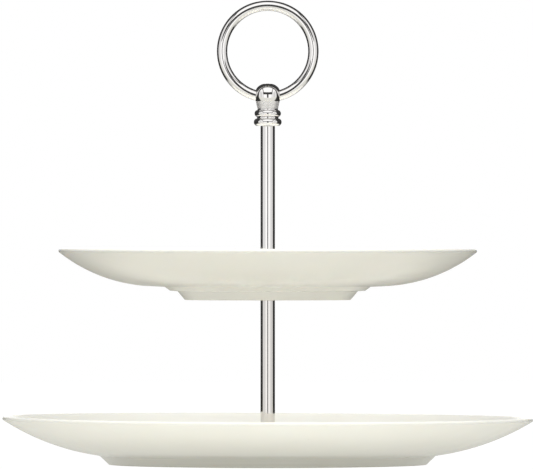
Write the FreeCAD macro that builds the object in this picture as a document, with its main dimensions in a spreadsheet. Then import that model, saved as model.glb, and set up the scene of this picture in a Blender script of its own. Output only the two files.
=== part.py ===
"""Two-tier cake stand: two porcelain plates on a chromed rod with a ring handle.

Frame: millimetres, +Z up. The origin is on the stand's axis, on the surface that the
lower plate's foot stands on. The ring handle lies in the XZ plane.

From the table up: base screw, lower plate, lower rod, upper plate, upper rod, handle.
Each plate is clamped between two gaskets and two washers. M4 threads are plain
cylinders of about their pitch diameter.
"""
import FreeCAD, Part
import Sketcher
import math
import os

DIMENSIONS = {
    # lower plate, heights above its foot
    "lower_foot_inner_top_radius": 77.4,
    "lower_foot_inner_radius": 79.4,
    "lower_foot_outer_radius": 83.6,
    "lower_foot_top_radius": 88.3,
    "lower_foot_height": 4.55,
    "lower_wall_foot_radius": 91.0,
    "lower_wall_foot_height": 5.08,
    "lower_underside_height": 5.0,
    "lower_floor_radius": 84.0,
    "lower_rim_radius": 139.88,
    "lower_rim_height": 23.33,
    "lower_wall_curve_radius": 127.0,
    "lower_lip_inset": 1.13,
    "lower_lip_rise": 1.89,
    # upper plate, heights above its foot
    "upper_foot_inner_top_radius": 38.6,
    "upper_foot_inner_radius": 40.2,
    "upper_foot_outer_radius": 43.6,
    "upper_foot_top_radius": 47.4,
    "upper_foot_height": 4.6,
    "upper_ledge_radius": 51.3,
    "upper_ledge_height": 4.85,
    "upper_step_radius": 54.2,
    "upper_step_height": 6.9,
    "upper_shoulder_radius": 62.0,
    "upper_shoulder_height": 7.25,
    "upper_underside_height": 6.1,
    "upper_floor_radius": 58.0,
    "upper_rim_radius": 110.47,
    "upper_rim_height": 25.48,
    "upper_wall_curve_radius": 83.1,
    "upper_lip_inset": 1.35,
    "upper_lip_rise": 1.74,
    # both plates
    "plate_hole_radius": 4.0,
    "plate_floor_thickness": 4.5,
    "lip_round": 1.05,
    "glaze_round": 0.7,
    # washers and gaskets
    "washer_radius": 10.0,
    "washer_hole_radius": 2.15,
    "washer_thickness": 1.2,
    "washer_edge_round": 0.45,
    "gasket_radius": 9.4,
    "gasket_hole_radius": 2.3,
    "gasket_thickness": 1.0,
    # rods and M4 threads
    "rod_radius": 3.8,
    "rod_bore_radius": 3.0,
    "rod_length": 78.7,
    "rod_edge_chamfer": 0.25,
    "thread_radius": 1.75,
    "thread_bore_radius": 1.8,
    "thread_end_chamfer": 0.4,
    "thread_engagement": 8.0,
    "insert_length": 10.0,
    "turning_insert_radius": 2.95,
    "plug_length": 10.0,
    # base screw
    "screw_head_radius": 4.0,
    "screw_head_edge_height": 0.9,
    "screw_head_height": 2.2,
    "screw_crown_radius": 2.2,
    "screw_crown_curve_radius": 2.6,
    "screw_length": 16.0,
    "recess_half_length": 1.9,
    "recess_half_width": 0.45,
    "recess_depth": 1.4,
    # handle collar with two beads
    "collar_height": 8.9,
    "collar_lip_thickness": 1.4,
    "collar_bore_radius": 4.25,
    "collar_foot_radius": 5.9,
    "collar_groove_radius": 5.7,
    "collar_groove_foot_height": 4.07,
    "collar_groove_top_height": 4.67,
    "collar_neck_radius": 5.45,
    "collar_neck_height": 8.5,
    "lower_bead_radius": 2.12,
    "upper_bead_radius": 2.02,
    # handle head
    "hub_radius": 4.2,
    "hub_length": 7.5,
    "head_neck_radius": 5.36,
    "head_side_foot_radius": 6.268,
    "head_side_foot_height": 11.603,
    "head_side_curve_radius": 8.0,
    "head_cheek_foot_radius": 6.368,
    "head_cheek_foot_height": 17.336,
    "head_cheek_curve_radius": 5.2,
    "head_crown_foot_radius": 4.596,
    "head_crown_foot_height": 19.721,
    "head_height": 21.25,
    "head_thread_depth": 8.8,
    # handle ring
    "ring_wire_radius": 2.75,
    "ring_centre_radius": 24.0,
    "ring_centre_height": 37.9,
    "ring_gap_angle": 10.0,
}

# Heights of the stack, as sums of dimensions from the table up.
CLAMP_PACK = "gasket_thickness + washer_thickness"
LOWER_UNDERSIDE = "lower_underside_height"
BASE_WASHER_FOOT = f"{LOWER_UNDERSIDE} - gasket_thickness - washer_thickness"
LOWER_FLOOR = f"{LOWER_UNDERSIDE} + plate_floor_thickness"
LOWER_ROD_FOOT = f"{LOWER_FLOOR} + {CLAMP_PACK}"
LOWER_ROD_TOP = f"{LOWER_ROD_FOOT} + rod_length"
UPPER_UNDERSIDE = f"{LOWER_ROD_TOP} + {CLAMP_PACK}"
UPPER_PLATE_FOOT = f"{UPPER_UNDERSIDE} - upper_underside_height"
UPPER_FLOOR = f"{UPPER_UNDERSIDE} + plate_floor_thickness"
UPPER_ROD_FOOT = f"{UPPER_FLOOR} + {CLAMP_PACK}"
UPPER_ROD_TOP = f"{UPPER_ROD_FOOT} + rod_length"
HUB_FOOT = f"{UPPER_ROD_TOP} + collar_lip_thickness"

# Length of each stud above its rod: what it passes through, then its engaged thread.
LOWER_STUD_REACH = f"{CLAMP_PACK} + plate_floor_thickness + {CLAMP_PACK} + thread_engagement"
UPPER_STUD_REACH = "collar_lip_thickness + thread_engagement"

ON_TABLE = "0"
CLOSE = 1e-3

# Kinds of edge in a turned section, and the side that an arc bulges to.
LINE = "line"
LEVEL = "level"
CROWN = "crown"
BULGE_LEFT = 1
BULGE_RIGHT = -1

UP = FreeCAD.Vector(0, 0, 1)
ACROSS_Y = FreeCAD.Rotation(FreeCAD.Vector(1, 0, 0), 90)

doc = FreeCAD.newDocument("CakeStand")
sheet = doc.addObject("Spreadsheet::Sheet", "Sizes")
for row, (alias, number) in enumerate(DIMENSIONS.items(), start=1):
    sheet.set(f"A{row}", alias)
    sheet.set(f"B{row}", str(number))
    sheet.setAlias(f"B{row}", alias)
doc.recompute()


def amount(total):
    """The value of a sum of dimensions, such as "rod_length + insert_length"."""
    value = 0.0
    sign = 1
    for word in total.split():
        if word in "+-":
            sign = 1 if word == "+" else -1
        elif word != "0":
            value += sign * getattr(sheet, word)
    return value


def bound(total):
    """The same sum, written as an expression on the spreadsheet."""
    return " ".join(word if word in "+-0" else f"Sizes.{word}" for word in total.split())


def new_body(name, height=ON_TABLE):
    """A body whose origin stands on the stand's axis, at a height."""
    body = doc.addObject("PartDesign::Body", name)
    body.Label = name
    if height != ON_TABLE:
        body.setExpression("Placement.Base.z", bound(height))
    return body


def new_sketch(body, name, role):
    """A sketch on one of the body's own origin planes."""
    sketch = body.newObject("Sketcher::SketchObject", name)
    plane = next(item for item in body.Origin.OriginFeatures if item.Role == role)
    sketch.AttachmentSupport = [(plane, "")]
    sketch.MapMode = "FlatFace"
    return sketch


def hold(sketch, edge, end, across, up):
    """Fix a point of an edge at two sums: its distance across and its height."""
    for kind, total, axis in (("DistanceX", across, -2), ("DistanceY", up, -1)):
        if total == "0":
            sketch.addConstraint(Sketcher.Constraint("PointOnObject", edge, end, axis))
        else:
            distance = Sketcher.Constraint(kind, -1, 1, edge, end, amount(total))
            index = sketch.addConstraint(distance)
            sketch.setExpression(f"Constraints[{index}]", bound(total))


def hold_radius(sketch, edge, radius):
    """Fix the radius of a circle or an arc at a sum."""
    constraint = Sketcher.Constraint("Radius", edge, amount(radius))
    index = sketch.addConstraint(constraint)
    sketch.setExpression(f"Constraints[{index}]", bound(radius))


def arc_between(start, finish, radius, side):
    """The short arc between two points: side 1 bulges to the left of the way, -1 right."""
    chord = finish - start
    half = chord.Length / 2
    rise = radius - math.sqrt(radius ** 2 - half ** 2)
    left = FreeCAD.Vector(-chord.y, chord.x, 0).normalize()
    middle = (start + finish) * 0.5 + left * (rise * side)
    return Part.Arc(start, middle, finish)


def level_radius(start, finish):
    """Radius of the arc that runs from one point and is level at the other."""
    chord = finish - start
    return chord.Length ** 2 / (2 * abs(chord.y))


def turned(body, corners):
    """Turn a closed half-section about the body's axis.

    Each corner is (radius, height, edge), and its edge leads to the next corner: LINE,
    an arc as (radius, side), LEVEL, an arc tangent to the next, straight edge, or CROWN,
    an arc about a point of the axis, up to the axis.
    """
    sketch = new_sketch(body, "Section", "XZ_Plane")
    points = [FreeCAD.Vector(amount(across), amount(up), 0) for across, up, _ in corners]
    ends = []
    for index, (_, _, edge) in enumerate(corners):
        start = points[index]
        finish = points[(index + 1) % len(points)]
        if edge == LINE:
            curve = Part.LineSegment(start, finish)
        elif edge in (LEVEL, CROWN):
            side = BULGE_LEFT if edge == LEVEL else BULGE_RIGHT
            curve = arc_between(start, finish, level_radius(start, finish), side)
        else:
            curve = arc_between(start, finish, amount(edge[0]), edge[1])
        added = sketch.addGeometry(curve)
        forward = sketch.getPoint(added, 1).distanceToPoint(start) < CLOSE
        ends.append((1, 2) if forward else (2, 1))
    for index, (across, up, edge) in enumerate(corners):
        following = (index + 1) % len(corners)
        meeting = (index, ends[index][1], following, ends[following][0])
        kind = "Tangent" if edge == LEVEL else "Coincident"
        sketch.addConstraint(Sketcher.Constraint(kind, *meeting))
        hold(sketch, index, ends[index][0], across, up)
        if edge == CROWN:
            sketch.addConstraint(Sketcher.Constraint("PointOnObject", index, 3, -2))
        elif edge not in (LINE, LEVEL):
            hold_radius(sketch, index, edge[0])
    revolution = body.newObject("PartDesign::Revolution", "Turning")
    revolution.Profile = sketch
    revolution.ReferenceAxis = (sketch, ["V_Axis"])
    revolution.Angle = 360
    doc.recompute()
    return revolution


def ring_padded(body, radius, hole_radius, length):
    """Pad a flat ring up from the body's XY plane."""
    sketch = new_sketch(body, "Ring", "XY_Plane")
    for index, total in enumerate((radius, hole_radius)):
        circle = Part.Circle(FreeCAD.Vector(), UP, amount(total))
        sketch.addGeometry(circle)
        sketch.addConstraint(Sketcher.Constraint("Coincident", index, 3, -1, 1))
        hold_radius(sketch, index, total)
    pad = body.newObject("PartDesign::Pad", "Length")
    pad.Profile = sketch
    pad.setExpression("Length", bound(length))
    doc.recompute()
    return pad


def ring_edges(feature, places):
    """Names of the round edges of a feature that lie at (radius, height) places."""
    names = []
    for index, edge in enumerate(feature.Shape.Edges, start=1):
        if not isinstance(edge.Curve, Part.Circle):
            continue
        for across, up in places:
            off_radius = abs(edge.Curve.Radius - amount(across))
            off_height = abs(edge.Curve.Center.z - amount(up))
            if off_radius < CLOSE and off_height < CLOSE:
                names.append(f"Edge{index}")
    if len(names) != len(places):
        raise RuntimeError(f"{feature.Name} has {len(names)} of {len(places)} edges")
    return names


def rounded(body, feature, name, places, radius):
    """Fillet round edges of the body."""
    fillet = body.newObject("PartDesign::Fillet", name)
    fillet.Base = (feature, ring_edges(feature, places))
    fillet.setExpression("Radius", bound(radius))
    doc.recompute()
    return fillet


def chamfered(body, feature, places, size):
    """Chamfer round edges of the body."""
    chamfer = body.newObject("PartDesign::Chamfer", "EdgeBreak")
    chamfer.Base = (feature, ring_edges(feature, places))
    chamfer.setExpression("Size", bound(size))
    doc.recompute()
    return chamfer


def lower_plate():
    """Wide shallow plate on a single foot ring whose outside slopes out to the wall."""
    body = new_body("lower_plate")
    lip_radius = "lower_rim_radius - lower_lip_inset"
    lip_height = "lower_rim_height + lower_lip_rise"
    section = turned(body, [
        ("plate_hole_radius", LOWER_UNDERSIDE, LINE),
        ("lower_foot_inner_top_radius", LOWER_UNDERSIDE, LINE),
        ("lower_foot_inner_radius", "0", LINE),
        ("lower_foot_outer_radius", "0", LINE),
        ("lower_foot_top_radius", "lower_foot_height", LINE),
        ("lower_wall_foot_radius", "lower_wall_foot_height",
         ("lower_wall_curve_radius", BULGE_RIGHT)),
        ("lower_rim_radius", "lower_rim_height", LINE),
        (lip_radius, lip_height, LEVEL),
        ("lower_floor_radius", LOWER_FLOOR, LINE),
        ("plate_hole_radius", LOWER_FLOOR, LINE),
    ])
    lip = rounded(body, section, "LipRound", [
        ("lower_rim_radius", "lower_rim_height"), (lip_radius, lip_height)], "lip_round")
    rounded(body, lip, "GlazeRound", [
        ("lower_foot_inner_top_radius", LOWER_UNDERSIDE),
        ("lower_foot_inner_radius", "0"),
        ("lower_foot_outer_radius", "0"),
        ("lower_foot_top_radius", "lower_foot_height"),
        ("plate_hole_radius", LOWER_UNDERSIDE),
        ("plate_hole_radius", LOWER_FLOOR),
    ], "glaze_round")
    return body


def upper_plate():
    """Smaller plate, with a ledge and a second step between its foot ring and its wall."""
    body = new_body("upper_plate", UPPER_PLATE_FOOT)
    floor = "upper_underside_height + plate_floor_thickness"
    lip_radius = "upper_rim_radius - upper_lip_inset"
    lip_height = "upper_rim_height + upper_lip_rise"
    section = turned(body, [
        ("plate_hole_radius", "upper_underside_height", LINE),
        ("upper_foot_inner_top_radius", "upper_underside_height", LINE),
        ("upper_foot_inner_radius", "0", LINE),
        ("upper_foot_outer_radius", "0", LINE),
        ("upper_foot_top_radius", "upper_foot_height", LINE),
        ("upper_ledge_radius", "upper_ledge_height", LINE),
        ("upper_step_radius", "upper_step_height", LINE),
        ("upper_shoulder_radius", "upper_shoulder_height",
         ("upper_wall_curve_radius", BULGE_RIGHT)),
        ("upper_rim_radius", "upper_rim_height", LINE),
        (lip_radius, lip_height, LEVEL),
        ("upper_floor_radius", floor, LINE),
        ("plate_hole_radius", floor, LINE),
    ])
    lip = rounded(body, section, "LipRound", [
        ("upper_rim_radius", "upper_rim_height"), (lip_radius, lip_height)], "lip_round")
    rounded(body, lip, "GlazeRound", [
        ("upper_foot_inner_top_radius", "upper_underside_height"),
        ("upper_foot_inner_radius", "0"),
        ("upper_foot_outer_radius", "0"),
        ("upper_foot_top_radius", "upper_foot_height"),
        ("upper_ledge_radius", "upper_ledge_height"),
        ("upper_step_radius", "upper_step_height"),
        ("plate_hole_radius", "upper_underside_height"),
        ("plate_hole_radius", floor),
    ], "glaze_round")
    return body


def washer(name, height, outer_face):
    """Steel washer. Its edge is rounded on the face that turns away from the plate."""
    body = new_body(name, height)
    pad = ring_padded(body, "washer_radius", "washer_hole_radius", "washer_thickness")
    rounded(body, pad, "EdgeRound", [("washer_radius", outer_face)], "washer_edge_round")
    return body


def gasket(name, height):
    """Soft flat ring between a washer and the porcelain."""
    body = new_body(name, height)
    ring_padded(body, "gasket_radius", "gasket_hole_radius", "gasket_thickness")
    return body


def rod(name, height):
    """Chromed steel tube."""
    body = new_body(name, height)
    pad = ring_padded(body, "rod_radius", "rod_bore_radius", "rod_length")
    chamfered(body, pad, [("rod_radius", "0"), ("rod_radius", "rod_length")],
              "rod_edge_chamfer")
    return body


def insert(name, height, radius):
    """Threaded sleeve in the foot of a rod."""
    body = new_body(name, height)
    ring_padded(body, radius, "thread_bore_radius", "insert_length")
    return body


def stud(name, rod_top, reach):
    """Plug in the top of a rod, turned in one piece with its M4 stud."""
    body = new_body(name, f"{rod_top} - plug_length")
    tip = f"plug_length + {reach}"
    section = turned(body, [
        ("0", "0", LINE),
        ("rod_bore_radius", "0", LINE),
        ("rod_bore_radius", "plug_length", LINE),
        ("thread_radius", "plug_length", LINE),
        ("thread_radius", tip, LINE),
        ("0", tip, LINE),
    ])
    chamfered(body, section, [("thread_radius", tip)], "thread_end_chamfer")
    return body


def base_screw():
    """Pan-head M4 screw with a cross recess, up through the lower plate."""
    body = new_body("base_screw", f"{BASE_WASHER_FOOT} - screw_head_height")
    tip = "screw_head_height + screw_length"
    head_edge = "screw_head_height - screw_head_edge_height"
    section = turned(body, [
        ("0", "0", LINE),
        ("screw_crown_radius", "0", ("screw_crown_curve_radius", BULGE_RIGHT)),
        ("screw_head_radius", head_edge, LINE),
        ("screw_head_radius", "screw_head_height", LINE),
        ("thread_radius", "screw_head_height", LINE),
        ("thread_radius", tip, LINE),
        ("0", tip, LINE),
    ])
    chamfered(body, section, [("thread_radius", tip)], "thread_end_chamfer")
    for number, (half_x, half_y) in enumerate((
            ("recess_half_length", "recess_half_width"),
            ("recess_half_width", "recess_half_length")), start=1):
        slot = body.newObject("PartDesign::SubtractiveBox", f"Recess{number}")
        slot.setExpression("Length", f"2 * Sizes.{half_x}")
        slot.setExpression("Width", f"2 * Sizes.{half_y}")
        slot.setExpression("Height", "Sizes.recess_depth")
        slot.setExpression("Placement.Base.x", f"-Sizes.{half_x}")
        slot.setExpression("Placement.Base.y", f"-Sizes.{half_y}")
    return body


def handle_collar():
    """Ferrule with two beads and a groove between them, round the handle's joint."""
    body = new_body("handle_collar", UPPER_ROD_TOP)
    turned(body, [
        ("washer_hole_radius", "0", LINE),
        ("collar_foot_radius", "0", ("lower_bead_radius", BULGE_RIGHT)),
        ("collar_groove_radius", "collar_groove_foot_height", LINE),
        ("collar_groove_radius", "collar_groove_top_height",
         ("upper_bead_radius", BULGE_RIGHT)),
        ("collar_neck_radius", "collar_neck_height", LINE),
        ("collar_neck_radius", "collar_height", LINE),
        ("collar_bore_radius", "collar_height", LINE),
        ("collar_bore_radius", "collar_lip_thickness", LINE),
        ("washer_hole_radius", "collar_lip_thickness", LINE),
    ])
    return body


def handle_head():
    """Acorn head: a threaded hub, a flaring neck, a domed top, and the ring's cross hole."""
    body = new_body("handle_head", HUB_FOOT)
    turned(body, [
        ("thread_bore_radius", "0", LINE),
        ("hub_radius", "0", LINE),
        ("hub_radius", "hub_length", LINE),
        ("head_neck_radius", "hub_length", LINE),
        ("head_side_foot_radius", "head_side_foot_height",
         ("head_side_curve_radius", BULGE_RIGHT)),
        ("head_cheek_foot_radius", "head_cheek_foot_height",
         ("head_cheek_curve_radius", BULGE_RIGHT)),
        ("head_crown_foot_radius", "head_crown_foot_height", CROWN),
        ("0", "head_height", LINE),
        ("0", "head_thread_depth", LINE),
        ("thread_bore_radius", "head_thread_depth", LINE),
    ])
    hole = body.newObject("PartDesign::SubtractiveTorus", "RingHole")
    hole.setExpression("Radius1", "Sizes.ring_centre_radius")
    hole.setExpression("Radius2", "Sizes.ring_wire_radius")
    hole.Placement.Rotation = ACROSS_Y
    hole.setExpression("Placement.Base.z", "Sizes.ring_centre_height")
    return body


def handle_ring():
    """Bent wire ring, standing upright, whose two ends meet inside the head."""
    ring = doc.addObject("Part::Torus", "handle_ring")
    ring.Label = "handle_ring"
    ring.setExpression("Radius1", "Sizes.ring_centre_radius")
    ring.setExpression("Radius2", "Sizes.ring_wire_radius")
    ring.setExpression("Angle3", "360 - Sizes.ring_gap_angle")
    gap_at_bottom = sheet.ring_gap_angle / 2 - 90
    ring.Placement.Rotation = ACROSS_Y * FreeCAD.Rotation(UP, gap_at_bottom)
    ring.setExpression("Placement.Base.z", bound(f"{HUB_FOOT} + ring_centre_height"))
    return ring


pieces = [
    base_screw(),
    washer("base_washer", BASE_WASHER_FOOT, "0"),
    gasket("base_gasket", f"{LOWER_UNDERSIDE} - gasket_thickness"),
    lower_plate(),
    gasket("lower_seat_gasket", LOWER_FLOOR),
    washer("lower_seat_washer", f"{LOWER_FLOOR} + gasket_thickness", "washer_thickness"),
    insert("lower_rod_insert", LOWER_ROD_FOOT, "rod_bore_radius"),
    rod("lower_rod", LOWER_ROD_FOOT),
    stud("lower_rod_stud", LOWER_ROD_TOP, LOWER_STUD_REACH),
    washer("upper_under_washer", LOWER_ROD_TOP, "0"),
    gasket("upper_under_gasket", f"{LOWER_ROD_TOP} + washer_thickness"),
    upper_plate(),
    gasket("upper_seat_gasket", UPPER_FLOOR),
    washer("upper_seat_washer", f"{UPPER_FLOOR} + gasket_thickness", "washer_thickness"),
    insert("upper_rod_insert", UPPER_ROD_FOOT, "turning_insert_radius"),
    rod("upper_rod", UPPER_ROD_FOOT),
    stud("upper_rod_stud", UPPER_ROD_TOP, UPPER_STUD_REACH),
    handle_collar(),
    handle_head(),
    handle_ring(),
]
doc.recompute()

for item in doc.Objects:
    if "Invalid" in item.State or "Error" in item.State:
        raise RuntimeError(f"{item.Label} failed: {item.State}")
for piece in pieces:
    if piece.Shape.isNull() or not piece.Shape.isValid():
        raise RuntimeError(f"{piece.Label} has no valid shape")
    if len(piece.Shape.Solids) != 1:
        raise RuntimeError(f"{piece.Label} is not one solid")

os.makedirs("parts", exist_ok=True)
for piece in pieces:
    piece.Shape.exportStep(f"parts/{piece.Label}.step")
    box = piece.Shape.optimalBoundingBox()
    print(f"{piece.Label:20s} z {box.ZMin:7.2f} to {box.ZMax:7.2f}  x {box.XMax:7.2f}"
          f"  volume {piece.Shape.Volume:10.1f}")
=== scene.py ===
import math

import bpy
from mathutils import Matrix, Vector


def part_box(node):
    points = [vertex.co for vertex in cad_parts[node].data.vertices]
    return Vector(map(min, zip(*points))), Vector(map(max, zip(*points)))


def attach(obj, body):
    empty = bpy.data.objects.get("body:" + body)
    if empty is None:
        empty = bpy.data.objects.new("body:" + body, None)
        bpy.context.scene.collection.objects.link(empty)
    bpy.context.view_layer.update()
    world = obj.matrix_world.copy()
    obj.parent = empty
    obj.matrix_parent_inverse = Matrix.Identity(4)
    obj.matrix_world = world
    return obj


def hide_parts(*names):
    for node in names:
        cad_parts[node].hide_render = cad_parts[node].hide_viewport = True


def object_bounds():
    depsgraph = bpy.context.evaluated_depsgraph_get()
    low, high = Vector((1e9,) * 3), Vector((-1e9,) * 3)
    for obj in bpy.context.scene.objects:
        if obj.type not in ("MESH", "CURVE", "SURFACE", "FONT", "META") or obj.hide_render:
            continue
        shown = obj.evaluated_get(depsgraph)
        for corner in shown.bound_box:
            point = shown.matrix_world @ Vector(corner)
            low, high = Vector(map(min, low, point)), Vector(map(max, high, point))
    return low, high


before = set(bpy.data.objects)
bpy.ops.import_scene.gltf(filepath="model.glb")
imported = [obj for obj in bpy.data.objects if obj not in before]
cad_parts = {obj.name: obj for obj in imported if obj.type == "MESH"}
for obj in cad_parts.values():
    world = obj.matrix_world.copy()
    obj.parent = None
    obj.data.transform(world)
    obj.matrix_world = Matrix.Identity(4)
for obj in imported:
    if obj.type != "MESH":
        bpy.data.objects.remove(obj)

# Two-tier cake stand: porcelain plates on a chromed rod with a ring handle.
# Lengths are millimetres in the outlines below, and metres in Blender.

MM = 0.001
CAD_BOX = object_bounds()
ROUND_STEPS = 8
CLEAR_OF_CUT = 1.001
LINE = None
LEFT, RIGHT = 1, -1


# ---------------------------------------------------------------- outlines

def arc_points(start, finish, radius, side, step_angle=1.5):
    """Points of the short arc between two points, without its last point."""
    start, finish = Vector(start), Vector(finish)
    chord = finish - start
    half = chord.length / 2
    left = Vector((-chord.y, chord.x)).normalized()
    centre = (start + finish) / 2 - left * side * math.sqrt(radius ** 2 - half ** 2)
    sweep = 2 * math.asin(half / radius) * -side
    steps = max(4, math.ceil(abs(math.degrees(sweep)) / step_angle))
    spoke = start - centre
    return [centre + Matrix.Rotation(sweep * i / steps, 2) @ spoke for i in range(steps)]


def line_points(start, finish):
    """A straight edge, with a point near each end that keeps its shading flat."""
    start, finish = Vector(start), Vector(finish)
    return [start.lerp(finish, part) for part in (0.0, 0.06, 0.5, 0.94)]


def outline(corners, closed=True):
    """Points of a section, whose corners are (radius, height, rounding, edge to next)."""
    count = len(corners)
    edges = []
    for index in range(count if closed else count - 1):
        start, finish = corners[index][:2], corners[(index + 1) % count][:2]
        edge = corners[index][3]
        dense = line_points(start, finish) if edge is LINE else arc_points(start, finish, *edge)
        edges.append(dense + [Vector(finish)])
    points = []
    for index, edge in enumerate(edges):
        before = edges[index - 1] if closed or index else None
        after = edges[(index + 1) % count] if closed or index + 1 < len(edges) else None
        start_cut = corner_cut(before, edge, corners[index][2]) if before else 0.0
        end_cut = corner_cut(edge, after, corners[(index + 1) % count][2]) if after else 0.0
        kept = [p for p in edge if (p - edge[0]).length > start_cut * CLEAR_OF_CUT
                and (p - edge[-1]).length > end_cut * CLEAR_OF_CUT]
        if before and start_cut:
            points += corner_round(before, edge, corners[index][2])
        elif before or index == 0:
            points.append(edge[0])
        points += kept
        if not after:
            points.append(edge[-1])
    return points


def corner_cut(before, after, rounding):
    """How far a rounding reaches along each of the two edges that meet in a corner."""
    way_in = (before[-1] - before[-2]).normalized()
    way_out = (after[1] - after[0]).normalized()
    return rounding * math.tan(way_in.angle(way_out) / 2)


def corner_round(before, after, rounding):
    """Points of the rounding of a corner."""
    way_in = (before[-1] - before[-2]).normalized()
    way_out = (after[1] - after[0]).normalized()
    corner = after[0]
    cut = corner_cut(before, after, rounding)
    side = 1 if way_in.x * way_out.y - way_in.y * way_out.x > 0 else -1
    start = corner - way_in * cut
    centre = start + Vector((-way_in.y, way_in.x)) * rounding * side
    sweep = way_in.angle(way_out) * side
    return [centre + Matrix.Rotation(sweep * i / ROUND_STEPS, 2) @ (start - centre)
            for i in range(ROUND_STEPS + 1)]


# ------------------------------------------------------------------ meshes

def add_mesh(name, vertices, faces):
    mesh = bpy.data.meshes.new(name)
    mesh.from_pydata([tuple(v) for v in vertices], [], faces)
    mesh.validate()
    piece = bpy.data.objects.new(name, mesh)
    bpy.context.scene.collection.objects.link(piece)
    mesh.shade_smooth()
    return piece


def lathe(name, points, base, segments=192, closed=True):
    """Turn an outline about the Z axis. An open outline starts and ends on the axis."""
    vertices, faces = [], []
    rings = []
    for point in points:
        if point.x < 1e-6:
            rings.append([len(vertices)])
            vertices.append((0, 0, base + point.y * MM))
            continue
        rings.append(list(range(len(vertices), len(vertices) + segments)))
        for step in range(segments):
            angle = math.tau * step / segments
            vertices.append((point.x * MM * math.cos(angle), point.x * MM * math.sin(angle),
                             base + point.y * MM))
    pairs = list(zip(rings, rings[1:] + rings[:1])) if closed else list(zip(rings, rings[1:]))
    for low, high in pairs:
        for step in range(segments):
            following = (step + 1) % segments
            if len(low) == 1:
                faces.append((low[0], high[following], high[step]))
            elif len(high) == 1:
                faces.append((low[step], low[following], high[0]))
            else:
                faces.append((low[step], low[following], high[following], high[step]))
    return add_mesh(name, vertices, faces)


def finish_piece(piece, body, node, material):
    """Give a piece its material, and let it stand for its CAD node on that node's body."""
    piece.data.materials.append(material)
    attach(piece, body)
    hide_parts(node)


# --------------------------------------------------------------- materials

def new_material(name):
    material = bpy.data.materials.new(name)
    material.use_nodes = True
    return material, material.node_tree.nodes, material.node_tree.links


def noise_on_object(nodes, links, scale, detail=3.0, stretch=(1, 1, 1)):
    """Noise fixed to the object, with a scale in features per metre."""
    coordinates = nodes.new("ShaderNodeTexCoord")
    mapping = nodes.new("ShaderNodeMapping")
    mapping.inputs["Scale"].default_value = stretch
    noise = nodes.new("ShaderNodeTexNoise")
    noise.inputs["Scale"].default_value = scale
    noise.inputs["Detail"].default_value = detail
    links.new(coordinates.outputs["Object"], mapping.inputs["Vector"])
    links.new(mapping.outputs["Vector"], noise.inputs["Vector"])
    return noise


def ramp(nodes, links, source, stops):
    """Colour ramp from a value, with stops (position, colour)."""
    node = nodes.new("ShaderNodeValToRGB")
    elements = node.color_ramp.elements
    while len(elements) < len(stops):
        elements.new(0.5)
    for element, (position, colour) in zip(elements, stops):
        element.position = position
        element.color = (*colour, 1)
    links.new(source, node.inputs["Fac"])
    return node.outputs["Color"]


def ranged(nodes, links, source, low, high, to_low, to_high, smooth=False):
    """Map a value from one range to another."""
    node = nodes.new("ShaderNodeMapRange")
    if smooth:
        node.interpolation_type = "SMOOTHSTEP"
    node.inputs["From Min"].default_value = low
    node.inputs["From Max"].default_value = high
    node.inputs["To Min"].default_value = to_low
    node.inputs["To Max"].default_value = to_high
    links.new(source, node.inputs["Value"])
    return node.outputs["Result"]


def bump(nodes, links, height, strength, distance, normal=None):
    node = nodes.new("ShaderNodeBump")
    node.inputs["Strength"].default_value = strength
    node.inputs["Distance"].default_value = distance
    links.new(height, node.inputs["Height"])
    if normal:
        links.new(normal, node.inputs["Normal"])
    return node.outputs["Normal"]


def calculated(nodes, links, operation, *values):
    """Output of a math node fed with sockets and plain numbers."""
    node = nodes.new("ShaderNodeMath")
    node.operation = operation
    for socket, value in zip(node.inputs, values):
        if isinstance(value, (int, float)):
            socket.default_value = value
        else:
            links.new(value, socket)
    return node.outputs[0]


def layered_level(nodes, links, under, mask, level):
    """Replace a value by another where a mask is 1."""
    node = nodes.new("ShaderNodeMix")
    for socket, value in (("Factor", mask), ("A", under), ("B", level)):
        links.new(value, node.inputs[socket])
    return node.outputs["Result"]


def mixed(nodes, links, factor, first, second):
    """Mix two colours, each a socket or a plain colour, by a factor socket."""
    node = nodes.new("ShaderNodeMix")
    node.data_type = "RGBA"
    links.new(factor, node.inputs["Factor"])
    for socket, colour in (("A", first), ("B", second)):
        target = next(i for i in node.inputs if i.name == socket and i.type == "RGBA")
        if isinstance(colour, tuple):
            target.default_value = (*colour, 1)
        else:
            links.new(colour, target)
    return next(o for o in node.outputs if o.type == "RGBA")


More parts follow.
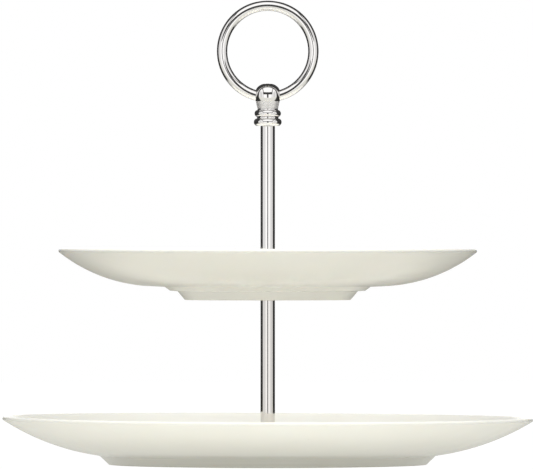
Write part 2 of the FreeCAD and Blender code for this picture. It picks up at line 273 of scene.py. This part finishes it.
def porcelain_material(name):
    """Warm white glaze: faint cloudiness, rare dark specks, a softly wavy surface."""
    material, nodes, links = new_material(name)
    shader = nodes["Principled BSDF"]
    cloud = noise_on_object(nodes, links, 22)
    body_colour = ramp(nodes, links, cloud.outputs["Fac"],
                       [(0.3, (0.835, 0.825, 0.765)), (0.7, (0.855, 0.847, 0.79))])
    cells = nodes.new("ShaderNodeTexVoronoi")
    cells.inputs["Scale"].default_value = 190
    coordinates = nodes.new("ShaderNodeTexCoord")
    links.new(coordinates.outputs["Object"], cells.inputs["Vector"])
    near = ranged(nodes, links, cells.outputs["Distance"], 0.025, 0.06, 1, 0)
    split = nodes.new("ShaderNodeSeparateColor")
    links.new(cells.outputs["Color"], split.inputs["Color"])
    rare = ranged(nodes, links, split.outputs["Red"], 0.990, 0.992, 0, 1)
    speck = calculated(nodes, links, "MULTIPLY", near, rare)
    colour = mixed(nodes, links, speck, body_colour, (0.30, 0.25, 0.17))
    links.new(colour, shader.inputs["Base Color"])
    glaze = noise_on_object(nodes, links, 30, detail=1.0)
    links.new(ranged(nodes, links, glaze.outputs["Fac"], 0.3, 0.7, 0.18, 0.26),
              shader.inputs["Roughness"])
    wave = noise_on_object(nodes, links, 70, detail=1.0)
    fine = noise_on_object(nodes, links, 900, detail=2.0)
    waved = bump(nodes, links, wave.outputs["Fac"], 0.1, 0.0003)
    pored = bump(nodes, links, fine.outputs["Fac"], 0.05, 0.00002, waved)
    links.new(pored, shader.inputs["Normal"])
    shader.inputs["IOR"].default_value = 1.5
    shader.inputs["Subsurface Weight"].default_value = 0.15
    shader.inputs["Subsurface Radius"].default_value = (1.0, 0.85, 0.6)
    shader.inputs["Subsurface Scale"].default_value = 0.003
    return material


def bisque_material():
    """Bare fired clay on the foot ring, where no glaze may touch the kiln shelf."""
    material, nodes, links = new_material("bisque")
    shader = nodes["Principled BSDF"]
    grain = noise_on_object(nodes, links, 2600, detail=4.0)
    colour = ramp(nodes, links, grain.outputs["Fac"],
                  [(0.35, (0.70, 0.66, 0.58)), (0.65, (0.80, 0.77, 0.70))])
    links.new(colour, shader.inputs["Base Color"])
    shader.inputs["Roughness"].default_value = 0.85
    links.new(bump(nodes, links, grain.outputs["Fac"], 0.4, 0.0001), shader.inputs["Normal"])
    return material


def chrome_material(name, stretch, tint=(0.80, 0.785, 0.775), polish=(0.03, 0.07), metal=1.0):
    """Polished chrome: faint haze and hairline rub marks, drawn out along one way."""
    material, nodes, links = new_material(name)
    shader = nodes["Principled BSDF"]
    shader.inputs["Metallic"].default_value = metal
    haze = noise_on_object(nodes, links, 60, detail=4.0)
    shades = ramp(nodes, links, haze.outputs["Fac"],
                  [(0.3, tuple(0.96 * c for c in tint)), (0.7, tint)])
    links.new(shades, shader.inputs["Base Color"])
    links.new(ranged(nodes, links, haze.outputs["Fac"], 0.3, 0.75, *polish),
              shader.inputs["Roughness"])
    rubbed = noise_on_object(nodes, links, 9000, detail=2.0, stretch=stretch)
    links.new(bump(nodes, links, rubbed.outputs["Fac"], 0.05, 0.000002), shader.inputs["Normal"])
    return material


def steel_material():
    """Zinc-plated turned steel: round tool marks and a slightly patchy grey."""
    material, nodes, links = new_material("bright_steel")
    shader = nodes["Principled BSDF"]
    shader.inputs["Metallic"].default_value = 1.0
    patch = noise_on_object(nodes, links, 400, detail=3.0)
    colour = ramp(nodes, links, patch.outputs["Fac"],
                  [(0.3, (0.48, 0.48, 0.49)), (0.7, (0.60, 0.60, 0.61))])
    links.new(colour, shader.inputs["Base Color"])
    links.new(ranged(nodes, links, patch.outputs["Fac"], 0.3, 0.7, 0.22, 0.38),
              shader.inputs["Roughness"])
    coordinates = nodes.new("ShaderNodeTexCoord")
    rings = nodes.new("ShaderNodeTexWave")
    rings.wave_type = "RINGS"
    rings.rings_direction = "Z"
    rings.inputs["Scale"].default_value = 900
    rings.inputs["Distortion"].default_value = 1.5
    links.new(coordinates.outputs["Object"], rings.inputs["Vector"])
    links.new(bump(nodes, links, rings.outputs["Fac"], 0.15, 0.00003), shader.inputs["Normal"])
    return material


def gasket_material():
    """Matt off-white silicone with a fine moulded grain."""
    material, nodes, links = new_material("gasket")
    shader = nodes["Principled BSDF"]
    grain = noise_on_object(nodes, links, 1800, detail=3.0)
    colour = ramp(nodes, links, grain.outputs["Fac"],
                  [(0.3, (0.72, 0.71, 0.68)), (0.7, (0.80, 0.79, 0.76))])
    links.new(colour, shader.inputs["Base Color"])
    shader.inputs["Roughness"].default_value = 0.6
    shader.inputs["Subsurface Weight"].default_value = 0.2
    shader.inputs["Subsurface Scale"].default_value = 0.001
    links.new(bump(nodes, links, grain.outputs["Fac"], 0.2, 0.00005), shader.inputs["Normal"])
    return material


PORCELAIN = porcelain_material("porcelain")
BISQUE = bisque_material()
CHROME_ROD = chrome_material("chrome_rod", (1, 1, 0.04))
# The lower rod's chrome is darker and warmer than the upper rod's: painted shade between the
# plates.
CHROME_LOWER_ROD_PAINTED_SHADE = chrome_material("chrome_lower_rod_painted_shade", (1, 1, 0.04), tint=(0.72, 0.695, 0.67))
CHROME_HANDLE = chrome_material("chrome_handle", (1, 1, 1))
CHROME_TURNED = chrome_material("chrome_turned", (0.3, 0.3, 1))
PEARL_CHROME = chrome_material("pearl_chrome", (1, 1, 1), polish=(0.3, 0.36), metal=0.4)
STEEL = steel_material()
GASKET = gasket_material()


# ------------------------------------------------------------------ plates

PLATE_HOLE = 4.0
FLOOR_THICKNESS = 4.5
GLAZE_ROUND = 0.8
LIP_ROUND = 1.06
BARE_FOOT = 0.45
OVAL_TURN = 0.7


def level_arc(start, finish):
    """Edge that runs from one point and is level where it ends."""
    chord = Vector(finish) - Vector(start)
    return (chord.length_squared / (2 * abs(chord.y)), LEFT)


def plate(node, body, outside, lip, floor_radius, underside, warp):
    """A plate turned from its outside corners, a lip, and a floor of even thickness.

    The warp is how far kiln heat tilted the rim and made it wavy, in millimetres.
    """
    low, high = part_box(node)
    floor = underside + FLOOR_THICKNESS
    corners = [(PLATE_HOLE, underside, GLAZE_ROUND, LINE), *outside,
               (*lip, LIP_ROUND, level_arc(lip, (floor_radius, floor))),
               (floor_radius, floor, 0, LINE),
               (PLATE_HOLE, floor, GLAZE_ROUND, LINE)]
    points = outline(corners)
    piece = lathe(f"{node}_porcelain", points, low.z, segments=256)
    foot_radius = outside[2][0] * MM
    tilt, oval = warp
    for vertex in piece.data.vertices:
        x, y = vertex.co.xy
        reach = max(0.0, (math.hypot(x, y) - foot_radius) / (high.x - foot_radius))
        angle = math.atan2(y, x)
        lift = tilt * math.cos(angle) + oval * math.cos(2 * angle + OVAL_TURN)
        vertex.co.z += lift * reach ** 2 * MM
    finish_piece(piece, body, node, PORCELAIN)
    piece.data.materials.append(BISQUE)
    for face in piece.data.polygons:
        if face.center.z < low.z + BARE_FOOT * MM:
            face.material_index = 1


plate("lower_plate", "base",
      outside=[(77.4, 5.0, GLAZE_ROUND, LINE),
               (79.4, 0.0, GLAZE_ROUND, LINE),
               (83.6, 0.0, GLAZE_ROUND, LINE),
               (88.3, 4.55, GLAZE_ROUND, LINE),
               (91.0, 5.08, 0, (127.0, RIGHT)),
               (139.88, 23.33, LIP_ROUND, LINE)],
      lip=(138.75, 25.22), floor_radius=84.0, underside=5.0, warp=(-0.5, 0.15))

plate("upper_plate", "upper_tier",
      outside=[(38.6, 6.1, GLAZE_ROUND, LINE),
               (40.2, 0.0, GLAZE_ROUND, LINE),
               (43.6, 0.0, GLAZE_ROUND, LINE),
               (47.4, 4.6, 0.5, LINE),
               (51.3, 4.85, 0.6, LINE),
               (54.2, 6.9, 0.6, LINE),
               (62.0, 7.25, 0, (83.1, RIGHT)),
               (110.47, 25.48, LIP_ROUND, LINE)],
      lip=(109.12, 27.22), floor_radius=58.0, underside=6.1, warp=(-0.1, 0.12))


# ------------------------------------------------------- washers and gaskets

def flat_ring(node, body, radius, hole, rounds, material):
    """Washer or gasket; rounds are those of its lower and upper outer edge."""
    low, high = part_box(node)
    height = (high.z - low.z) / MM
    corners = [(hole, 0, 0.1, LINE), (radius, 0, rounds[0], LINE),
               (radius, height, rounds[1], LINE), (hole, height, 0.1, LINE)]
    piece = lathe(f"{node}_ring", outline(corners), low.z, segments=128)
    finish_piece(piece, body, node, material)


GASKET_RADIUS, GASKET_HOLE = 9.4, 2.3
WASHER_RADIUS, WASHER_HOLE = 10.0, 2.15
SOFT_EDGE = (0.25, 0.25)
STAMPED_EDGE = (0.45, 0.1)
TURNED_EDGE = (0.1, 0.5)

for node, body in (("base_gasket", "base"), ("lower_seat_gasket", "base"),
                   ("upper_under_gasket", "upper_tier"), ("upper_seat_gasket", "upper_tier")):
    flat_ring(node, body, GASKET_RADIUS, GASKET_HOLE, SOFT_EDGE, GASKET)
for node, body, rounds, slot, material in (
        ("base_washer", "stem", STAMPED_EDGE, "bright_steel", STEEL),
        ("lower_seat_washer", "stem", TURNED_EDGE, "chrome", CHROME_TURNED),
        ("upper_under_washer", "stem", STAMPED_EDGE, "bright_steel", STEEL),
        ("upper_seat_washer", "upper_tier", TURNED_EDGE, "chrome", CHROME_TURNED)):
    flat_ring(node, body, WASHER_RADIUS, WASHER_HOLE, rounds, material)


# ------------------------------------------------------------ rods and studs

ROD_RADIUS, ROD_BORE = 3.8, 3.0
ROD_EDGE, BORE_EDGE = 0.3, 0.15
PITCH = 0.7
THREAD_CREST, THREAD_ROOT = 1.98, 1.6
TIP_INSET = 0.25
CREST_RISE, FLANK_SLOPE = 1.15, 1.3
PLUG_LENGTH = 10.0


def rod(node, body, material):
    low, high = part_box(node)
    length = (high.z - low.z) / MM
    corners = [(ROD_BORE, 0, BORE_EDGE, LINE), (ROD_RADIUS, 0, ROD_EDGE, LINE),
               (ROD_RADIUS, length, ROD_EDGE, LINE), (ROD_BORE, length, BORE_EDGE, LINE)]
    finish_piece(lathe(f"{node}_tube", outline(corners), low.z, segments=128), body, node,
                 material)


def stud(node, body):
    """Plug and M4 stud, with a helical thread of blunt triangular section."""
    low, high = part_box(node)
    thread_length = (high.z - low.z) / MM - PLUG_LENGTH
    segments, rows_per_turn = 48, 12
    thread_rows = math.ceil(thread_length / PITCH * rows_per_turn)
    vertices, rings = [], []

    def add_ring(height, radius_at):
        rings.append(len(vertices))
        for step in range(segments):
            angle = math.tau * step / segments
            radius = radius_at(angle) * MM
            vertices.append((radius * math.cos(angle), radius * math.sin(angle),
                             low.z + height * MM))

    for height in (0.0, PLUG_LENGTH):
        add_ring(height, lambda angle: ROD_BORE)
    for row in range(thread_rows + 1):
        height = thread_length * row / thread_rows
        to_tip = thread_length - height
        crest = min(THREAD_CREST, THREAD_ROOT - TIP_INSET + to_tip)
        root = min(THREAD_ROOT, crest)

        def radius_at(angle, height=height, crest=crest, root=root):
            phase = (height / PITCH - angle / math.tau) % 1.0
            rise = max(0.0, min(1.0, CREST_RISE - abs(2 * phase - 1) * FLANK_SLOPE))
            return root + (crest - root) * rise
        add_ring(PLUG_LENGTH + height, radius_at)
    faces = [tuple(range(segments))[::-1],
             tuple(range(rings[-1], rings[-1] + segments))]
    for first, second in zip(rings, rings[1:]):
        for step in range(segments):
            following = (step + 1) % segments
            faces.append((first + step, first + following, second + following, second + step))
    piece = add_mesh(f"{node}_thread", vertices, faces)
    for end in piece.data.polygons[:2]:
        end.use_smooth = False
    finish_piece(piece, body, node, STEEL)


for node, body, material in (("lower_rod", "stem", CHROME_LOWER_ROD_PAINTED_SHADE),
                             ("upper_rod", "upper_rod", CHROME_ROD)):
    rod(node, body, material)
    stud(f"{node}_stud", body)


# ------------------------------------------------------------------- handle

COLLAR_BORE, COLLAR_FLOOR = 4.25, 1.4
COLLAR_GROOVE, COLLAR_NECK = 5.7, 5.45
HUB_RADIUS, HUB_HEIGHT = 4.2, 7.5
TAPPED_RADIUS, TAPPED_DEPTH = 1.8, 8.8
PEARL_FOOT, PEARL_TOP = 7.6, 11.5
HALF_RING_GAP = math.radians(5)


def collar():
    """Ferrule with two beads and a groove between them."""
    low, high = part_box("handle_collar")
    height = (high.z - low.z) / MM
    corners = [(WASHER_HOLE, 0, 0.1, LINE), (5.9, 0, 0.15, (2.12, RIGHT)),
               (COLLAR_GROOVE, 4.07, 0.1, LINE), (COLLAR_GROOVE, 4.67, 0.1, (2.02, RIGHT)),
               (COLLAR_NECK, 8.5, 0.08, LINE), (COLLAR_NECK, height, 0.08, LINE),
               (COLLAR_BORE, height, 0.1, LINE), (COLLAR_BORE, COLLAR_FLOOR, 0.1, LINE),
               (WASHER_HOLE, COLLAR_FLOOR, 0.1, LINE)]
    piece = lathe("handle_collar_beads", outline(corners), low.z, segments=128)
    finish_piece(piece, "handle_ferrule", "handle_collar", CHROME_HANDLE)


def head():
    """Acorn head: tapped hub, flaring neck of soft chrome, and a dome of three arcs."""
    low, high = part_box("handle_head")
    top = (high.z - low.z) / MM
    corners = [(0, TAPPED_DEPTH, 0, LINE), (TAPPED_RADIUS, TAPPED_DEPTH, 0.1, LINE),
               (TAPPED_RADIUS, 0, 0.1, LINE), (HUB_RADIUS, 0, 0.3, LINE),
               (HUB_RADIUS, HUB_HEIGHT, 0.05, LINE), (5.36, HUB_HEIGHT, 0.15, LINE),
               (6.268, 11.603, 0.5, (8.0, RIGHT)), (6.368, 17.336, 0, (5.2, RIGHT)),
               (4.596, 19.721, 0, (7.672, RIGHT)), (0, top, 0, LINE)]
    piece = lathe("handle_head_acorn", outline(corners, closed=False), low.z,
                  segments=128, closed=False)
    finish_piece(piece, "handle", "handle_head", CHROME_HANDLE)
    piece.data.materials.append(PEARL_CHROME)
    for face in piece.data.polygons:
        if PEARL_FOOT * MM < face.center.z - low.z < PEARL_TOP * MM:
            face.material_index = 1


def ring():
    """The ring handle: wire bent round in the XZ plane, its two ends inside the head."""
    low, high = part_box("handle_ring")
    wire = (high.y - low.y) / 2
    radius = (high.x - low.x) / 2 - wire
    centre = high.z - wire - radius
    around, across = 240, 48
    bend = math.tau - 2 * HALF_RING_GAP
    vertices, faces = [], []
    for turn in range(around + 1):
        angle = -math.pi / 2 + HALF_RING_GAP + bend * turn / around
        outward = Vector((math.cos(angle), 0, math.sin(angle)))
        for step in range(across):
            spin = math.tau * step / across
            point = outward * (radius + wire * math.cos(spin))
            vertices.append((point.x, wire * math.sin(spin), centre + point.z))
    for turn in range(around):
        for step in range(across):
            following = (step + 1) % across
            here, there = turn * across, (turn + 1) * across
            faces.append((here + step, there + step, there + following, here + following))
    faces.append(tuple(range(across)))
    faces.append(tuple(range(around * across, (around + 1) * across))[::-1])
    piece = add_mesh("handle_ring_wire", vertices, faces)
    for cap in piece.data.polygons[-2:]:
        cap.use_smooth = False
    finish_piece(piece, "handle", "handle_ring", CHROME_HANDLE)


collar()
head()
ring()

for node in ("base_screw", "lower_rod_insert", "upper_rod_insert"):
    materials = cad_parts[node].data.materials
    materials.clear()
    materials.append(STEEL)


# -------------------------------------------------------------------- stage

TABLE_FRONT = 0.56
TABLE_SIDE = 2.0
TABLE_BACK = 3.0
TABLE_TINT = (1.0, 1.0, 0.94)
BLACK, WHITE = (0.0, 0.0, 0.0), (1.0, 1.0, 1.0)
SEEN_LEVEL, SEEN_FROM_ABOVE = 1.0, 0.75
SHIFT_TO_LEFT = 0.005
OFF_TABLE = 0.07


def table_levels(nodes, links):
    """How bright the table is: its paper, its own glow, and its image in the chrome. Paper and
    glow darken towards the sides and the back as painted shade, and the glow is dim under the
    plates as painted shadow and bright in a ring round them as painted light.
    """
    place = nodes.new("ShaderNodeSeparateXYZ")
    links.new(nodes.new("ShaderNodeTexCoord").outputs["Object"], place.inputs["Vector"])
    across, along = place.outputs["X"], place.outputs["Y"]

    def calc(operation, *values):
        return calculated(nodes, links, operation, *values)

    def faded(value, *limits, smooth=True):
        return ranged(nodes, links, value, *limits, smooth=smooth)

    radius = calc("SQRT", calc("ADD", calc("MULTIPLY", across, across),
                               calc("MULTIPLY", along, along)))
    off_centre = calc("ABSOLUTE", calc("ADD", across, SHIFT_TO_LEFT))
    # Painted shade: paper and glow darken towards the sides and the back.
    side_and_back_shade = calc("MULTIPLY", faded(off_centre, 0.06, 0.38, 1.0, 0.12),
                faded(along, -0.05, 0.4, 1.0, 0.25))
    # Painted shadow and light: the glow is dim under the plates, brightest in a ring just past the
    # lower plate's rim, and weaker further out.
    near = calc("MULTIPLY", faded(radius, 0.07, 0.17, 0.27, 0.62),
                faded(radius, 0.25, 0.6, 1.0, 0.4))
    on_table = calc("MAXIMUM", faded(off_centre, 0.27, 0.33, 1.0, OFF_TABLE, smooth=False),
                    faded(along, -0.12, -0.06, 1.0, OFF_TABLE, smooth=False))
    mirrored = calc("MULTIPLY", on_table, faded(along, -0.2, 0.4, 0.93, 0.25))
    return side_and_back_shade, calc("MULTIPLY", side_and_back_shade, near), mirrored


def table_material():
    """Pale paper. A level camera sees it plain white, and one that looks down pale grey."""
    material, nodes, links = new_material("studio_floor")
    shader = nodes["Principled BSDF"]
    shader.inputs["Roughness"].default_value = 0.9
    shader.inputs["Specular IOR Level"].default_value = 0.1
    side_and_back_shade, glow, mirrored = table_levels(nodes, links)
    rays = nodes.new("ShaderNodeLightPath").outputs
    speckle = noise_on_object(nodes, links, 4)
    paper = ramp(nodes, links, speckle.outputs["Fac"],
                 [(0.3, (0.41, 0.41, 0.40)), (0.7, (0.43, 0.43, 0.42))])
    # Painted shade: the paper's colour fades to black towards the sides and the back.
    paper_with_painted_shade = mixed(nodes, links, side_and_back_shade, BLACK, paper)
    links.new(mixed(nodes, links, rays["Is Diffuse Ray"], BLACK, paper_with_painted_shade),
              shader.inputs["Base Color"])
    links.new(mixed(nodes, links, rays["Is Camera Ray"], TABLE_TINT, WHITE),
              shader.inputs["Emission Color"])

    geometry = nodes.new("ShaderNodeNewGeometry").outputs
    view = nodes.new("ShaderNodeSeparateXYZ")
    links.new(geometry["Incoming"], view.inputs["Vector"])
    seen = ranged(nodes, links, view.outputs["Z"], 0.1, 0.7, SEEN_LEVEL, SEEN_FROM_ABOVE,
                  smooth=True)
    for kind, level in (("Is Glossy Ray", mirrored), ("Is Camera Ray", seen)):
        glow = layered_level(nodes, links, glow, rays[kind], level)
    links.new(glow, shader.inputs["Emission Strength"])

    # A camera under the table sees through it, so the undersides can be looked at.
    see_through = nodes.new("ShaderNodeMixShader")
    from_under = calculated(nodes, links, "MULTIPLY", rays["Is Camera Ray"],
                            geometry["Backfacing"])
    links.new(from_under, see_through.inputs[0])
    links.new(shader.outputs[0], see_through.inputs[1])
    links.new(nodes.new("ShaderNodeBsdfTransparent").outputs[0], see_through.inputs[2])
    links.new(see_through.outputs[0], nodes["Material Output"].inputs["Surface"])
    return material


def floor():
    piece = add_mesh("studio_floor",
                     [(-TABLE_SIDE, -TABLE_FRONT, 0), (TABLE_SIDE, -TABLE_FRONT, 0),
                      (TABLE_SIDE, TABLE_BACK, 0), (-TABLE_SIDE, TABLE_BACK, 0)],
                     [(0, 1, 2, 3)])
    piece.data.materials.append(table_material())


class Studio:
    """World shader: the light that arrives from each direction, built from math nodes."""

    def __init__(self):
        world = bpy.data.worlds.new("studio")
        bpy.context.scene.world = world
        world.use_nodes = True
        self.nodes, self.links = world.node_tree.nodes, world.node_tree.links
        self.background = self.nodes["Background"]
        coordinates = self.nodes.new("ShaderNodeTexCoord")
        split = self.nodes.new("ShaderNodeSeparateXYZ")
        self.links.new(coordinates.outputs["Generated"], split.inputs["Vector"])
        self.x, self.y, self.z = (split.outputs[axis] for axis in "XYZ")
        self.side = self.math("ABSOLUTE", self.x)
        self.front = self.math("MULTIPLY", self.y, -1.0)

    def math(self, operation, *values):
        return calculated(self.nodes, self.links, operation, *values)

    def total(self, side=0.0, front=0.0, up=0.0):
        """Weighted sum of the direction's parts: sideways, to the front and up."""
        parts = [self.math("MULTIPLY", value, weight)
                 for value, weight in ((self.side, side), (self.front, front), (self.z, up))
                 if weight]
        value = parts[0]
        for part in parts[1:]:
            value = self.math("ADD", value, part)
        return value

    def above(self, value, level, soft=0.012):
        return ranged(self.nodes, self.links, value, level - soft, level + soft, 0, 1, smooth=True)

    def below(self, value, level, soft=0.012):
        return ranged(self.nodes, self.links, value, level - soft, level + soft, 1, 0, smooth=True)

    def within(self, value, low, high, soft=0.012):
        return self.math("MULTIPLY", self.above(value, low, soft), self.below(value, high, soft))

    def both(self, *masks):
        value = masks[0]
        for mask in masks[1:]:
            value = self.math("MULTIPLY", value, mask)
        return value

    def layered(self, under, mask, level):
        """Replace a level by another where a mask is 1."""
        keep = self.math("MULTIPLY", under, self.math("SUBTRACT", 1.0, mask))
        return self.math("ADD", keep, self.math("MULTIPLY", mask, level))


PANEL, SIDE_PANEL, SIDE_STRIPE = 1.3, 1.05, 0.80
DARK, FRAME, BAR, STEM = 0.055, 0.1, 0.06, 0.08
PANEL_SEAM, TABLE_EDGE = 0.5, 0.8


def mirrored_studio(s):
    """What the chrome shows: white panels in front, with dark gaps, and dark sides."""
    seam = s.total(side=0.809, front=-0.588)
    in_front = s.above(s.front, 0.45)

    # The white panels end beside the stand, sharply at the side and softly overhead.
    overhead = ranged(s.nodes, s.links, s.z, 0.3, 0.85, 0.0, 1.0, smooth=True)
    edge_width = s.math("ADD", 0.024, s.math("MULTIPLY", overhead, 0.22))
    lit = s.math("DIVIDE", s.math("SUBTRACT", s.front, 0.078), edge_width)
    lit = s.math("MINIMUM", s.math("MAXIMUM", lit, 0.0), 1.0)
    level = s.layered(DARK, lit, PANEL)
    side_panel = s.both(s.above(seam, 0.0), s.below(s.z, 0.42, 0.2), lit)
    level = s.layered(level, side_panel, SIDE_PANEL)
    level = s.layered(level, s.both(side_panel, s.within(s.side, 0.80, 0.93, 0.05)), SIDE_STRIPE)

    # Window frame, the seam of the panels, and a T of two dark bars in front.
    level = s.layered(level, s.both(s.within(s.side, 0.58, 0.66), s.within(s.z, 0.15, 0.86),
                                    s.above(s.front, -0.05)), FRAME)
    level = s.layered(level, s.both(s.within(seam, -0.015, 0.015), s.within(s.z, -0.33, 0.3)),
                      PANEL_SEAM)
    level = s.layered(level, s.both(s.within(s.z, 0.13, 0.41, 0.02), s.below(s.side, 0.58),
                                    in_front), BAR)
    level = s.layered(level, s.both(s.within(s.z, -0.30, 0.2), s.below(s.side, 0.12), in_front),
                      STEM)

    rear_wall = s.both(s.below(s.total(side=1.0, front=0.14), 0.0, 0.02), s.below(s.z, 0.6),
                       s.below(s.front, -0.1))
    level = s.layered(level, rear_wall, PANEL)
    return s.layered(level, s.below(s.z, -0.36), TABLE_EDGE)


def studio_light():
    """Light box: soft light from the front and from above, and panels in the chrome."""
    s = Studio()
    soft = s.math("ADD", ranged(s.nodes, s.links, s.front, -0.4, 0.8, 0.28, 0.61, smooth=True),
                  ranged(s.nodes, s.links, s.z, 0.4, 0.85, 0.0, 2.0, smooth=True))
    rays = s.nodes.new("ShaderNodeLightPath").outputs
    level = s.layered(soft, rays["Is Glossy Ray"], mirrored_studio(s))
    level = s.layered(level, rays["Is Camera Ray"], 1.0)
    s.background.inputs["Color"].default_value = (*WHITE, 1)
    s.links.new(level, s.background.inputs["Strength"])


def camera():
    """Long lens, about level with the upper plate's rim, far enough for a nearly flat view."""
    low, high = CAD_BOX
    distance = 5.2
    margin = 1.3 * MM
    axis_right_of_centre = 0.65 * MM
    aim_height = 120.9 * MM
    camera_height = 118 * MM
    data = bpy.data.cameras.new("camera")
    data.sensor_width = 36
    data.lens = data.sensor_width * distance / (high.x - low.x + margin)
    data.clip_start, data.clip_end = 0.5, 60
    eye = bpy.data.objects.new("camera", data)
    eye.location = (-axis_right_of_centre, -distance, camera_height)
    aim = Vector((-axis_right_of_centre, 0, aim_height))
    eye.rotation_euler = (aim - eye.location).to_track_quat("-Z", "Y").to_euler()
    bpy.context.scene.collection.objects.link(eye)
    bpy.context.scene.camera = eye


floor()
studio_light()
camera()
bpy.context.scene.view_settings.view_transform = "Standard"
